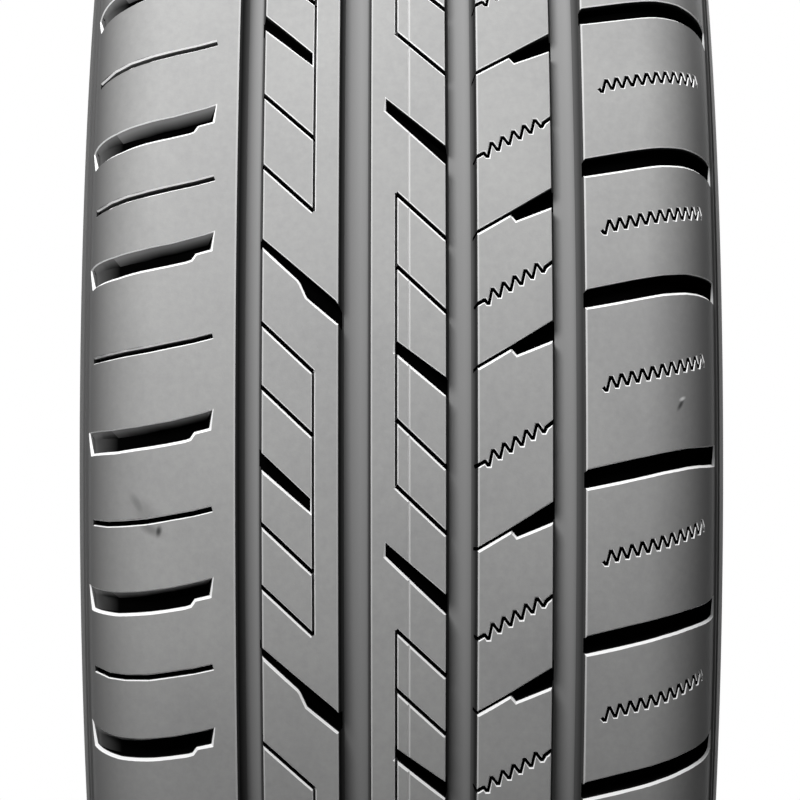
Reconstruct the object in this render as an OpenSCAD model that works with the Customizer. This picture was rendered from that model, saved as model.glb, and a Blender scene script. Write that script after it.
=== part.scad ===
// Passenger car tyre, size 205/55 R16, moulded in one piece.
// The axle lies along Y through the origin. X points to the front of the tyre, and Z is up.
// The tread is laid out as a flat sheet: u runs across it to the right, and v runs up its face, in mm.

/* [Size] */
// Overall diameter over the crown of the tread
outer_d = 632; // [630:1:636]
// Diameter of the two bead seats, that of a 16 inch rim
seat_d = 405.6; // [404.6:0.2:406.6]
// Length of the round seat in each bead
seat_w = 11; // [9:0.5:12]
// Thickness under the crown, from the top of the ribs to the liner
crown_t = 15.5; // [15:0.5:18]

/* [Grooves round the tyre] */
// Depth of the four grooves round the tyre
groove_depth = 8; // [7.6:0.1:8.4]
// Left edge of each groove, from left to right
groove_left = [-50.2, -19.2, 13.3, 45.5];
// Right edge of each groove
groove_right = [-42.0, -9.2, 23.1, 55.7];
// How far each left wall leans in on its way down
lean_left = [2.4, 1.4, 0.8, 0.6];
// How far each right wall leans in on its way down
lean_right = [0.8, 0.7, 1.6, 2.3];
// Number of places round the tyre with wear bars across the grooves
wear_bars = 6; // [4:1:8]
// Height of a wear bar above the groove's floor
wear_bar_h = 1.6; // [1.2:0.2:2]
// Length of a wear bar round the tyre
wear_bar_w = 9; // [6:1:12]

/* [Slots and sipes] */
// Depth of the slots across the ribs
slot_depth = 7; // [5:0.5:7]
// Depth of the slots where they run over the shoulders
shoulder_depth = 6; // [4:0.5:7]
// Depth of the sipes, the thin cuts across the ribs
sipe_depth = 6; // [3:0.5:6.5]
// Width of a sipe
sipe_w = 1.2; // [0.8:0.1:1.4]
// Depth of the fine lines that run round two of the ribs
line_depth = 2.5; // [1:0.5:4]
// Width of these fine lines
line_w = 1; // [0.7:0.1:1.2]
// Length of one wave in a zigzag sipe
wave = 6; // [5.5:0.1:6.5]
// Height of the zigzag from peak to peak, along its middle
wave_h = 3; // [2:0.2:3.4]
// Width of a zigzag sipe, measured round the tyre
wave_w = 1.6; // [1.2:0.1:1.8]

/* [Pitches] */
// Unequal pitches of the shoulders and the fourth rib, in order down the face
outer_pitch = [52.5, 41.6, 55, 50.9, 47.1, 50, 47, 53];
// Unequal pitches of the second rib
rib2_pitch = [75.5, 65.3, 59.7, 80, 57.6, 59];
// Unequal pitches of the third rib
rib3_pitch = [76.9, 61.3, 63.8, 60, 56.1, 79];
// How often each list of pitches is repeated round the tyre
repeats = 5; // [5:1:5]

/* [Hidden] */
$fn = 128;
tread_r = outer_d / 2;
seat_r = seat_d / 2;
deg_per_mm = 360 / (2 * PI * tread_r);
over = 3;

// The section is traced from arcs that run into each other. A heading of 0 points across the tyre and 90
// points to the axle. A step is [radius, turn, pieces], and one with no turn is [length, 0, 1].
crown_steps = [[14, 0, 1], [700, 3, 1], [240, 5.6, 2]];
shoulder_r = 26.6;
shoulder_turn = 67.4;
side_steps = [[13, 0, 1], [128, 14, 3], [38, 50, 4], [13, -50, 3]];
liner_steps = [[700, 5.1, 2], [34, 74.9, 5], [100, 10, 2], [34, 50, 4], [13, 0, 1], [16, -45, 3]];
heel_r = 6;
toe = [1.6, 1.4];

// Thin rings on each sidewall: [radius, width, height]
side_rings = [[288, 1.6, 0.5], [282, 1.2, 0.4], [235, 1.2, 0.5], [231, 1.2, 0.5], [225, 2.4, 0.8]];

// Where the first right shoulder slot and the first pitch of ribs 2 and 3 begin, along v
outer_start = 149;
rib2_start = 145.8;
rib3_start = 116.2;
wear_bar_start = 193;
// The left shoulder's slots lie higher than the right one's, and those of rib 4 lie lower
left_shoulder_rise = 18.8;
rib4_fall = 23.7;
// Part of a pitch at which each sipe follows its slot
left_sipe_at = 0.59;
rib4_zigzag_at = 0.548;
right_zigzag_at = 0.525;
rib2_sipes_at = [0.38, 0.69];
rib3_sipes_at = [0.406, 0.71];

// Slope of the sipes in ribs 2 and 3, and of the zigzags in rib 4 and the right shoulder
rib_slope = -0.95;
rib4_slope = 0.63;
right_slope = 0.17;
rib2_line_u = -26.6;
rib3_line_u = -1.6;
faint_line_u = 2.3;
// Tilt of the sipes in the shoulders, radius at which the shoulder slots run out, and room to cut them in
fade_tilt = 12.5;
slot_end_r = tread_r - 25.5;
outside_u = 108;
floor_w = 60;
// Part of their depth that the left slots lose on their way over the shoulder
left_lost = 0.65;

function last(list) = list[len(list) - 1];
function reversed(list) = [for (i = [len(list) - 1:-1:0]) list[i]];
function total(list, n) = n <= 0 ? 0 : list[n - 1] + total(list, n - 1);
function bow(p, a, s) = [for (i = [1:s[2]]) let (b = a + s[1] * i / s[2])
    s[1] == 0 ? p + s[0] * [cos(a), -sin(a)]
              : p + sign(s[1]) * s[0] * [sin(b) - sin(a), cos(b) - cos(a)]];
function runs(p, a, steps, i = 0) = i == len(steps) ? [] :
    let (run = bow(p, a, steps[i]))
    concat(run, runs(last(run), a + steps[i][1], steps, i + 1));
function trace(p, a, steps) = concat([p], runs(p, a, steps));
function left_of(list) = [for (i = [len(list) - 1:-1:0]) if (list[i][0] > 0) [-list[i][0], list[i][1]]];

crown = trace([0, tread_r], 0, crown_steps);
crown_turn = total([for (step = crown_steps) step[1]], len(crown_steps));
shoulder_start = last(crown);
shoulder_centre = shoulder_start - shoulder_r * [sin(crown_turn), cos(crown_turn)];
outside = concat(crown, runs(shoulder_start, crown_turn, concat([[shoulder_r, shoulder_turn, 4]], side_steps)));
liner = trace([0, tread_r - crown_t], 0, liner_steps);
bead_u = last(outside)[0];
heel = [for (a = [0:30:90]) [bead_u - heel_r + heel_r * cos(a), seat_r + heel_r - heel_r * sin(a)]];
seat_end = [bead_u - heel_r - seat_w, seat_r];
outer_half = concat(outside, heel, [seat_end, seat_end + [-toe[0], toe[1]]]);

// Height of the tread, and half width of the sidewall, along the traced outline
function height_at(u) = lookup(abs(u), outside) - tread_r;
function side_at(r) = lookup(r, [for (p = reversed(outside)) [p[1], p[0]]]);

// Section of a ring on the right sidewall
function ring_section(r, w, h) = [
    [side_at(r) - 3, r + w / 2], [side_at(r + w / 2), r + w / 2], [side_at(r) + h, r + w / 4],
    [side_at(r) + h, r - w / 4], [side_at(r - w / 2), r - w / 2], [side_at(r) - 3, r - w / 2]];

// The band between two edges of a slot, given along its upper and its lower edge from left to right
function slot(upper, lower) = concat(upper, reversed(lower));
function ribbon(middle, w) = slot([for (p = middle) p + [0, w / 2]], [for (p = middle) p - [0, w / 2]]);
function straight(u0, u1, from, slope) = [[u0, slope * (u0 - from)], [u1, slope * (u1 - from)]];
function zigzag(u0, waves, slope, from) = [for (i = [0:2 * waves]) let (u = u0 + i * wave / 2)
    [u, slope * (u - from) + (i % 2 == 0 ? -1 : 1) * wave_h / 2]];
function across(slope) = sipe_w * sqrt(1 + slope * slope);

// Turns its children from the front of the crown to the height v on the face
module facing(v) rotate([0, -v * deg_per_mm, 0]) children();

// Puts its children at each pitch of a list: $i counts them, and $pitch is the one that follows
module pitched(start, pitches, part = 0)
    for (k = [0:repeats - 1], i = [0:len(pitches) - 1]) {
        $i = i;
        $pitch = pitches[i];
        $next = pitches[(i + 1) % len(pitches)];
        facing(start - part * $pitch - total(pitches, i) - k * total(pitches, len(pitches))) children();
    }

// A cut straight down into the tread from a plan in u and v, as deep as given at u
module sink(depth, u) translate([tread_r + height_at(u) - depth, 0, 0]) rotate(120, [1, 1, 1])
    linear_extrude(depth - height_at(u) + over) children();

// A cut square to the slope of the right shoulder, that fades out where the shoulder falls away from it
module sink_in_shoulder(u) translate([tread_r + height_at(u) - sipe_depth, u, 0]) rotate([0, 0, fade_tilt])
    rotate(120, [1, 1, 1]) linear_extrude(4 * sipe_depth) children();

// A fine line round the tyre, from the height 0 downwards
module fine_line(u, length) rotate([-90, 0, 0]) rotate_extrude(angle = length * deg_per_mm)
    translate([tread_r + height_at(u) - line_depth, u - line_w / 2]) square([line_depth + over, line_w]);

// The room above the floor of a right shoulder slot, which goes down over the shoulder and loses a part of
// its depth on the way
module above_floor(u, lost) rotate(180, [1, 1, 0]) linear_extrude(floor_w, center = true) polygon(concat(
    [[u, tread_r + over], [u + 0.8, tread_r + height_at(u) - slot_depth]],
    [for (i = [0:3]) let (a = crown_turn + 22 * i, depth = shoulder_depth * (1 - lost * pow(i / 3, 2)))
        shoulder_centre + (shoulder_r - depth) * [sin(a), cos(a)]],
    [[outside_u, slot_end_r], [outside_u, tread_r + over]]));

module section() {
    difference() {
        polygon(concat(outer_half, reversed(liner), left_of(reversed(liner)), left_of(outer_half)));
        for (i = [0:len(groove_left) - 1]) groove_section(i);
        translate([faint_line_u, tread_r - 0.5]) polygon([[0, 0], [0.4, 1], [-0.4, 1]]);
    }
    for (ring = side_rings) {
        polygon(ring_section(ring[0], ring[1], ring[2]));
        polygon([for (p = reversed(ring_section(ring[0], ring[1], ring[2]))) [-p[0], p[1]]]);
    }
}

module groove_section(i) polygon([
    [groove_left[i], tread_r + over], [groove_left[i], tread_r + height_at(groove_left[i])],
    [groove_left[i] + lean_left[i], tread_r - groove_depth], [groove_right[i] - lean_right[i], tread_r - groove_depth],
    [groove_right[i], tread_r + height_at(groove_right[i])], [groove_right[i], tread_r + over]]);

module carcass() rotate([-90, 0, 0]) rotate_extrude() mirror([1, -1]) section();

module left_shoulder_cuts() {
    pitched(outer_start + left_shoulder_rise, outer_pitch) intersection() {
        sink(slot_depth + over * 8, -57) polygon(slot(
            [[-110, -6.9], [-80, -5.6], [-57, 0]],
            [[-110, -12.9], [-80, -12.8], [-63.5, -8.8], [-62, -6.3], [-58.5, -5.5]]));
        mirror([0, 1, 0]) above_floor(56.5, left_lost);
    }
    pitched(outer_start + left_shoulder_rise, outer_pitch, left_sipe_at) mirror([0, 1, 0]) sink_in_shoulder(57)
        polygon(ribbon([[0, 0], [13, -3.3], [28, -5.8], [40, -7]], sipe_w));
}

module rib2_cuts() {
    pitched(rib2_start, rib2_pitch) sink(slot_depth, -30) polygon($i % 2 == 0
        ? slot([[-44, 1.9], [-27.3, -14]], [[-44, -3.7], [-27.3, -18.2]])
        : slot([[-44, 1.8], [-16.9, -22.9]], [[-44, -0.4], [-31.3, -12.2], [-29, -18.2], [-16.9, -28]]));
    for (part = rib2_sipes_at) pitched(rib2_start, rib2_pitch, part) sink(sipe_depth, -35)
        polygon(ribbon(straight(-44, rib2_line_u, -42, rib_slope), across(rib_slope)));
    pitched(rib2_start, rib2_pitch, rib2_sipes_at[0]) if ($i % 2 == 1)
        facing(rib_slope * (rib2_line_u + 42))
            fine_line(rib2_line_u, (1 - rib2_sipes_at[0]) * $pitch + rib2_sipes_at[1] * $next);
}

module rib3_cuts() {
    pitched(rib3_start, rib3_pitch) sink(slot_depth, 5) polygon($i % 2 == 0
        ? slot([[-4.8, 0], [15, -17.2]], [[-4.8, -4.2], [15, -23.5]])
        : slot([[-2, 0], [15, -12.6]], [[-2, -4.2], [15, -18.6]]));
    for (part = rib3_sipes_at) pitched(rib3_start, rib3_pitch, part) sink(sipe_depth, 5)
        polygon(ribbon(straight(rib3_line_u, 15, rib3_line_u, rib_slope), across(rib_slope)));
    pitched(rib3_start, rib3_pitch, rib3_sipes_at[0]) if ($i % 2 == 0)
        fine_line(rib3_line_u, (1 - rib3_sipes_at[0]) * $pitch + rib3_sipes_at[1] * $next);
}

module rib4_cuts() {
    pitched(outer_start - rib4_fall, outer_pitch) sink(slot_depth, 35) polygon(slot(
        [[21, -0.8], [33, 6.3], [46.5, 14.7]], [[21, -2.5], [33.3, 4.9], [34.7, 3.3], [46.5, 8.1]]));
    pitched(outer_start - rib4_fall, outer_pitch, rib4_zigzag_at) sink(sipe_depth, 35)
        polygon(ribbon(concat([[21, -1.3]], zigzag(25, 3, rib4_slope, 23.1), [[46.5, 14.7]]), wave_w));
}

module right_shoulder_cuts() {
    pitched(outer_start, outer_pitch) intersection() {
        sink(slot_depth + over * 8, 55) polygon(slot(
            [[54.8, 0], [80, 5.3], [110, 7.7]], [[54.8, -5.6], [80, -0.4], [110, 2.4]]));
        above_floor(54.8, 0);
    }
    pitched(outer_start, outer_pitch, right_zigzag_at) sink_in_shoulder(61)
        polygon(ribbon(zigzag(0, 5.5, right_slope, 0), wave_w));
}

// Low bars across the four grooves, which come level with the ribs when the tread is worn out
module wear_bars() for (n = [0:wear_bars - 1], i = [0:len(groove_left) - 1])
    rotate([0, -wear_bar_start * deg_per_mm - n * 360 / wear_bars, 0])
        rotate(180, [1, 1, 0]) linear_extrude(wear_bar_w, center = true) translate([0, tread_r - groove_depth])
            polygon([[groove_left[i] + lean_left[i] - 0.8, wear_bar_h], [groove_right[i] - lean_right[i] + 0.8, wear_bar_h],
                     [groove_right[i] - lean_right[i] + 0.8, -1], [groove_left[i] + lean_left[i] - 0.8, -1]]);

module tyre() color("dimgray") {
    difference() {
        union() {
            carcass();
            wear_bars();
        }
        left_shoulder_cuts();
        rib2_cuts();
        rib3_cuts();
        rib4_cuts();
        right_shoulder_cuts();
    }
}

tyre();
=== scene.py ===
import math

import bmesh
import bpy
import numpy as np
from bpy.props import FloatProperty, FloatVectorProperty, IntProperty, PointerProperty
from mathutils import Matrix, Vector


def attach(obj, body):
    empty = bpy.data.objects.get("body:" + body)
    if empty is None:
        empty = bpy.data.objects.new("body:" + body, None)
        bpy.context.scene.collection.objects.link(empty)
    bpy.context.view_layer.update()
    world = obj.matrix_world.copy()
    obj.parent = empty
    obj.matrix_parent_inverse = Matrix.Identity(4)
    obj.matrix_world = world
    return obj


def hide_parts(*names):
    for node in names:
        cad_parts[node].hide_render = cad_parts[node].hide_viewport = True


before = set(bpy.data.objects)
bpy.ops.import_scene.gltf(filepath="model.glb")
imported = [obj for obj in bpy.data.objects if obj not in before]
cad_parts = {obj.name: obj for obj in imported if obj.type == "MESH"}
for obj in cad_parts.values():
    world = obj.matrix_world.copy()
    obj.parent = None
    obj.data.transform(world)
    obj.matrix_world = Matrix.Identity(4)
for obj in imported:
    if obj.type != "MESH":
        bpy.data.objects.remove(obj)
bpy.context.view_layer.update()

bl_info = {
    "name": "Car tyre",
    "version": (1, 0, 0),
    "blender": (4, 5, 0),
    "location": "3D View > Sidebar > Tyre",
    "description": "Makes a moulded car tyre with its whole tread, and a plain stage round it",
    "category": "Add Mesh",
}

# Lengths in the tables are mm. The tread is laid out as a flat sheet: u runs across it to the right along its
# surface, v runs up its face, and h is the height over its surface.
MM = 0.001

# The outline of one half, as arcs that run into each other. A heading of 0 points across the tyre and 90 to the
# axle. A step is (radius, turn, pieces), and one with no turn is (length, 0, pieces).
CROWN_STEPS = ((14, 0, 1), (700, 3, 3), (240, 5.6, 3))
SHOULDER_STEP = (26.6, 67.4, 15)
SIDE_STEPS = ((13, 0, 1), (128, 14, 4), (38, 50, 5), (13, -50, 4))
LINER_STEPS = ((700, 5.1, 2), (34, 74.9, 6), (100, 10, 2), (34, 50, 4), (13, 0, 1), (16, -45, 3))
HEEL_R = 6
HEEL_PIECES = 4
TOE = (1.6, 1.4)
# Down to these depths below the crown: the true round normals, the points without sidewall rings, the tread's look
ROUND_END, RINGS_START, TREAD_END = 24, 25, 27
# Thin rings on each sidewall: radius, width, height
SIDE_RINGS = ((288, 1.6, 0.5), (282, 1.2, 0.4), (235, 1.2, 0.5), (231, 1.2, 0.5), (225, 2.4, 0.8))

# Grooves round the tyre: left edge, right edge, and how far each wall leans in
GROOVES = ((-50.2, -42.0, 2.4, 0.8), (-19.2, -9.2, 1.4, 0.7), (13.3, 23.1, 0.8, 1.6), (45.5, 55.7, 0.6, 2.3))
GROOVE_EDGE = 0.4
GROOVE_FILLET = 0.9
FLOOR_PIECES = 4
# Painted shade on the groove floors: how dark the left side of each groove's floor is, how dark the right side of all
# of them is, and the parts of the floor's width between which the right side darkens
FLOOR_PAINTED_SHADE = (0.93, 0.76, 0.3, 0.12)
FLOOR_PAINTED_SHADE_RIGHT, FLOOR_RIGHT = 0.7, (0.72, 0.98)
# The faint line in rib 3, and what is broken off the edges of the fine lines
FAINT_LINE_U, FAINT_LINE_HALF, FAINT_LINE_DEPTH = 2.3, 0.4, 0.5
LINE_EDGE = 0.25

# Unequal pitches, in order down the face
OUTER_PITCH = (52.5, 41.6, 55.0, 50.9, 47.1, 50.0, 47.0, 53.0)
RIB2_PITCH = (75.5, 65.3, 59.7, 80.0, 57.6, 59.0)
RIB3_PITCH = (76.9, 61.3, 63.8, 60.0, 56.1, 79.0)
OUTER_START, RIB2_START, RIB3_START, WEAR_BAR_START = 149.0, 145.8, 116.2, 193.0
LEFT_RISE, RIB4_FALL = 18.8, 23.7
# Part of a pitch at which each sipe follows its slot. In ribs 2 and 3 it differs a little from pitch to pitch
LEFT_SIPE_AT, RIB4_ZIGZAG_AT, RIGHT_ZIGZAG_AT = 0.59, 0.548, 0.525
RIB2_SIPES_AT = ((0.377, 0.401, 0.363), (0.69, 0.697, 0.682))
RIB3_SIPES_AT = ((0.408, 0.396, 0.419), (0.704, 0.721, 0.71))
RIB_SLOPE = -0.95
RIB2_LINE_U, RIB3_LINE_U = -26.6, -1.6

# Every slot has an upper and a lower edge, each from the middle of the tyre outwards or from left to right
LEFT_SLOT = (((-57, -0.8), (-60, -1.8), (-70, -4.2), (-80, -5.8), (-90, -6.8), (-107, -7.3)),
             ((-58, -6.2), (-62.6, -7.4), (-63.9, -9.3), (-65.4, -9.8), (-71, -10.9), (-76, -11.7), (-88, -13.3),
              (-103, -14)))
LEFT_SIPE = ((-57, -0.6), (-63, -2.1), (-70, -3.4), (-77, -4.7), (-85, -5.6), (-92, -6.2), (-101, -6.4))
RIB2_WIDE = (((-44, 1.9), (-27.4, -13.8)), ((-44, -3.4), (-27.4, -18)))
RIB2_NARROW = (((-44, 2), (-19.8, -19.1), (-16.9, -23.5)),
               ((-44, -0.6), (-31.2, -12.8), (-30.5, -13.9), (-28.6, -18.2), (-16.9, -28.2)))
RIB3_LONG = (((-4.8, 0), (15, -17.2)), ((-4.8, -4.2), (15, -23.4)))
RIB3_SHORT = (((-2, 0), (15, -12.6)), ((-2, -3.9), (15, -18.4)))
RIB4_SLOT = (((21, -0.8), (33, 6.3), (47, 15)), ((21, -1.9), (33.2, 5.3), (34.8, 3.4), (47, 8.4)))
RIGHT_SLOT = (((55.2, -0.9), (56.2, 0.1), (70, 3.2), (80, 5.2), (88.5, 6.5), (108, 7.4)),
              ((55.2, -5.5), (56, -5.6), (70, -2.8), (80, -0.6), (88.5, 0.7), (94, 1.1), (108, 1.2)))

# Middle lines of the zigzag sipes: the points before the waves, the points after them, and the waves. These are the
# first peak's u, the height of the low side there, the wave's length and height, its rise along u, the share of its
# length that the rising stroke takes, and the number of waves
RIB4_ZIGZAG = (((22, -0.4), (25.1, 1.3), (26.2, 0.4)), ((43.6, 11.7), (47.5, 14.8)),
               (27.6, 1.54, 3.33, 3.0, 0.585, 0.43, 5))
RIGHT_ZIGZAG = (((60.9, -1.0), (61.8, -1.9)), (), (63.3, -1.1, 3.2, 2.9, 0.25, 0.46, 11))
ZIGZAG_TIP = 0.3
# Where the cuts over the shoulders lose depth: from u, to u, and the part that is lost
LEFT_FADE, LEFT_SIPE_FADE, RIGHT_FADE = (74.0, 101.0, 0.85), (88.0, 101.0, 0.5), (82.0, 97.0, 0.93)
# How far the upper wall of the left slots leans in, and how much wider the left sipes are than the others
LEFT_LEAN, LEFT_SIPE_WIDER = 2.2, 0.3
# The shoulders' sipes are shallower than the others by these factors
LEFT_SIPE_DEPTH, RIGHT_ZIGZAG_DEPTH = 0.8, 0.7
# What is broken off the upper and the lower edge of each kind of cut
EDGES = {"left_slot": (0.35, 0.85), "left_sipe": (0.3, 0.45), "rib_slot": (0.3, 0.7), "rib_sipe": (0.3, 0.5),
         "rib4_zigzag": (0.35, 0.38), "right_slot": (0.3, 0.75), "right_zigzag": (0.28, 0.32)}
# Longest piece of a slot's edge from SHOULDER_U outwards, and inside it
SHOULDER_U, SHOULDER_PIECE, RIB_PIECE = 72, 3.2, 14

# Marks of wear, each a soft long spot: u, v, half its length, half its width, its tilt from level in degrees, and
# how strong it is. The last one is pale, the rest are dark. The last two paint a nick in the right shoulder: painted
# shade in it and a painted highlight on its edge
SCUFFS_AND_PAINTED_NICK = ((-79.9, -11.0, 6.0, 2.2, -58, 0.42), (-77.2, -14.0, 9.0, 5.0, -50, 0.28),
          (-75.8, -18.3, 5.6, 2.4, -25, 0.5), (-73.4, -18.9, 2.6, 1.5, 80, 1.0),
          (85.5, 19.9, 2.8, 0.9, 60, 1.0), (86.2, 21.8, 1.5, 0.8, 30, 0.6))

# How a face lies, as the cosine of its turn from the tread: along it above the first, a broken edge between that and
# the second, a wall below the third. Then the depths of the top's points, of broken edges, and of walls from and to
ALONG, STEEPEST_EDGE, WALL_TURN = 0.985, 0.35, 0.6
TOP_DEPTH, EDGE_DEPTH, WALL_DEPTHS = 0.08, 1.2, (0.3, 9)
# Strength of the painted highlight on the broken edges of cuts, and on those of ribs that face right and left
CUT_EDGE_HIGHLIGHT, RIGHT_EDGE_HIGHLIGHT, LEFT_EDGE_HIGHLIGHT = 1.0, 0.52, 0.34
# Groove walls to the right of this u get a little less of the painted shade, by this factor. Left slots lie to the left
# of the other u
PALE_WALL_U, PALE_WALL = 40, 0.9
LEFT_SLOT_U = -56

# Marks on the mesh that the material reads. The edge mark carries a painted highlight, the wall and corner marks
# painted shade, and the lit mark painted light
CUT_MARK, DEPTH_MARK, EDGE_HIGHLIGHT_MARK, WALL_MARK = "cut", "depth", "edge", "wall"
FLOOR_SHADE_MARK, LIT_MARK, SIDE_MARK = "corner", "lit", "side"

# Lamps, in metres: the property that gives its power, its size, where it stands and what it points at. Two are a
# little to the left, high over the front of the tyre and in front of it. The third stands behind it, so that its
# back and right side can be made out
LAMPS = (("top", 0.5, (0.42, -0.12, 1.1), (0.3, 0, 0)),
         ("front", 0.3, (1.05, -0.24, 0.5), (0.3, 0, 0)),
         ("back", 0.5, (-1.0, 0.62, 0.7), (-0.15, 0.05, 0)))
# Where the photograph was taken from, worked out from the outlines and grooves that it shows
CAMERA_LENS, CAMERA_AT = 144.3, (1.279, -0.00045, 0.0209)
FLOOR_HALF = 1.2


def linear(value):
    """sRGB hex colour to linear values."""
    parts = [int(value[i:i + 2], 16) / 255 for i in (1, 3, 5)]
    return [p / 12.92 if p <= 0.04045 else ((p + 0.055) / 1.055) ** 2.4 for p in parts]


def colour(name, description, value):
    """A colour property, from its sRGB hex value."""
    return FloatVectorProperty(name=name, description=description, subtype="COLOR", default=linear(value), min=0, max=1)


class TyreSizes(bpy.types.PropertyGroup):
    """Sizes of the tyre and of the cuts in its tread."""
    outer_d: FloatProperty(name="Outside diameter", description="Diameter over the crown of the tread",
                           default=0.632, min=0.5, max=0.8, unit="LENGTH")
    seat_d: FloatProperty(name="Seat diameter", description="Diameter of the two bead seats",
                          default=0.4056, min=0.3, max=0.5, unit="LENGTH")
    seat_w: FloatProperty(name="Seat length", description="Length of the round seat in each bead",
                          default=0.011, min=0.005, max=0.02, unit="LENGTH")
    crown_t: FloatProperty(name="Crown thickness", description="From the top of the ribs to the liner",
                           default=0.0155, min=0.01, max=0.03, unit="LENGTH")
    groove_depth: FloatProperty(name="Groove depth", description="Depth of the grooves round the tyre",
                                default=0.008, min=0.004, max=0.009, unit="LENGTH")
    slot_depth: FloatProperty(name="Slot depth", description="Depth of the slots across the ribs",
                              default=0.007, min=0.004, max=0.008, unit="LENGTH")
    shoulder_depth: FloatProperty(name="Shoulder slot depth", description="Depth of the slots over the shoulders",
                                  default=0.006, min=0.003, max=0.007, unit="LENGTH")
    sipe_depth: FloatProperty(name="Sipe depth", description="Depth of the thin cuts across the ribs",
                              default=0.006, min=0.003, max=0.007, unit="LENGTH")
    sipe_w: FloatProperty(name="Sipe width", description="Width of the thin cuts",
                          default=0.00122, min=0.0005, max=0.002, unit="LENGTH")
    line_depth: FloatProperty(name="Line depth", description="Depth of the fine lines round two ribs",
                              default=0.0025, min=0.001, max=0.004, unit="LENGTH")
    line_w: FloatProperty(name="Line width", description="Width of the fine lines",
                          default=0.0008, min=0.0003, max=0.002, unit="LENGTH")
    zigzag_w: FloatProperty(name="Zigzag width", description="Width of a zigzag sipe",
                            default=0.0012, min=0.0005, max=0.0015, unit="LENGTH")
    wear_bar_h: FloatProperty(name="Wear bar height", description="Height over the floor of a groove",
                              default=0.0016, min=0.001, max=0.002, unit="LENGTH")
    wear_bar_w: FloatProperty(name="Wear bar length", description="Length round the tyre",
                              default=0.009, min=0.005, max=0.012, unit="LENGTH")
    wear_bars: IntProperty(name="Wear bars", description="Number of places round the tyre with wear bars",
                           default=6, min=4, max=8)
    repeats: IntProperty(name="Pitch lists", description="How often each list of pitches is repeated",
                         default=5, min=5, max=5)
    segments: IntProperty(name="Segments", description="Flat pieces round the tyre", default=216, min=120, max=240)


class RubberLook(bpy.types.PropertyGroup):
    """Colours and finish of the rubber."""
    tread: colour("Rubber", "Colour of the moulded face of the rubber", "#8d8d8d")
    bloom: colour("Bloom", "Colour where a pale bloom has come to the surface", "#9e9e9d")
    side: colour("Sidewall", "Colour of the sidewalls, where no bloom has come out", "#484848")
    # The broken edges' colour is a painted highlight
    edge: colour("Rubbed edges", "Colour of the broken edges of ribs and cuts", "#f2f2f2")
    # Painted shade: the groove floors are a little darker than the ribs
    floor: colour("Groove floors", "Colour of the floors of the grooves", "#8b8b8b")
    # The groove walls' colours are painted shade, a little paler down at the floor
    wall: colour("Groove walls", "Colour of the walls of the grooves", "#303030")
    wall_foot: colour("Foot of the walls", "Colour of groove walls down at the floor", "#606060")
    # The cuts' colours are painted shade: paler where a cut is shallow, near black deep down
    shallow: colour("Shallow cuts", "Colour of a cut's floor where it is shallow", "#707070")
    inside: colour("Rubber in the cuts", "Colour deep down in the slots and sipes", "#040404")
    # This colour is also the painted shade in the nick on the right shoulder
    scuff_and_nick_shade: colour("Scuffs", "Colour of the dark marks of wear on the shoulders", "#3c3c3c")
    roughness: FloatProperty(name="Roughness", description="Roughness of the moulded face",
                             default=0.62, min=0, max=1)
    cloud: FloatProperty(name="Clouds", description="Size of the faint clouds in the bloom",
                         default=1 / 14, min=0.01, max=0.2, unit="LENGTH")
    speck: FloatProperty(name="Specks", description="Size of the faint specks in the bloom",
                         default=1 / 420, min=0.001, max=0.01, unit="LENGTH")
    grain: FloatProperty(name="Grain", description="Width of the grain that the mould leaves",
                         default=0.0005, min=0.0001, max=0.002, unit="LENGTH")


class StageLook(bpy.types.PropertyGroup):
    """Floor, background and lamps."""
    floor: colour("Floor", "Colour of the floor", "#e6e6e6")
    bounce: colour("Floor's light", "Colour of the light that the floor throws back", "#303030")
    background: colour("Background", "Colour seen behind the tyre", "#ffffff")
    ambient: FloatProperty(name="Ambient", description="Strength of the light from all round, halfway left to right",
                           default=0.28, min=0, max=2)
    ambient_tilt: FloatProperty(name="Ambient tilt",
                                description="Part that this light gains at the left and loses at the right",
                                default=0.6, min=0, max=1)
    top: FloatProperty(name="Top lamp", description="Power of the lamp high over the front of the tyre",
                       default=8.2, min=0, max=400, unit="POWER")
    front: FloatProperty(name="Front lamp", description="Power of the lamp in front of the tyre",
                         default=7.8, min=0, max=400, unit="POWER")
    back: FloatProperty(name="Back lamp", description="Power of the lamp behind the tyre, which its front doesn't see",
                        default=12.0, min=0, max=400, unit="POWER")


def traced(start, heading, steps):
    """Points (across, radius, heading) along arcs and lines that run into each other."""
    points = [(start[0], start[1], heading)]
    for size, turn, pieces in steps:
        across, radius, first = points[-1]
        for i in range(1, pieces + 1):
            a, b = math.radians(first), math.radians(first + turn * i / pieces)
            if turn:
                bend = math.copysign(size, turn)
                points.append((across + bend * (math.sin(b) - math.sin(a)),
                               radius + bend * (math.cos(b) - math.cos(a)), math.degrees(b)))
            else:
                run = size * i / pieces
                points.append((across + run * math.cos(a), radius - run * math.sin(a), first))
    return points


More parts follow.
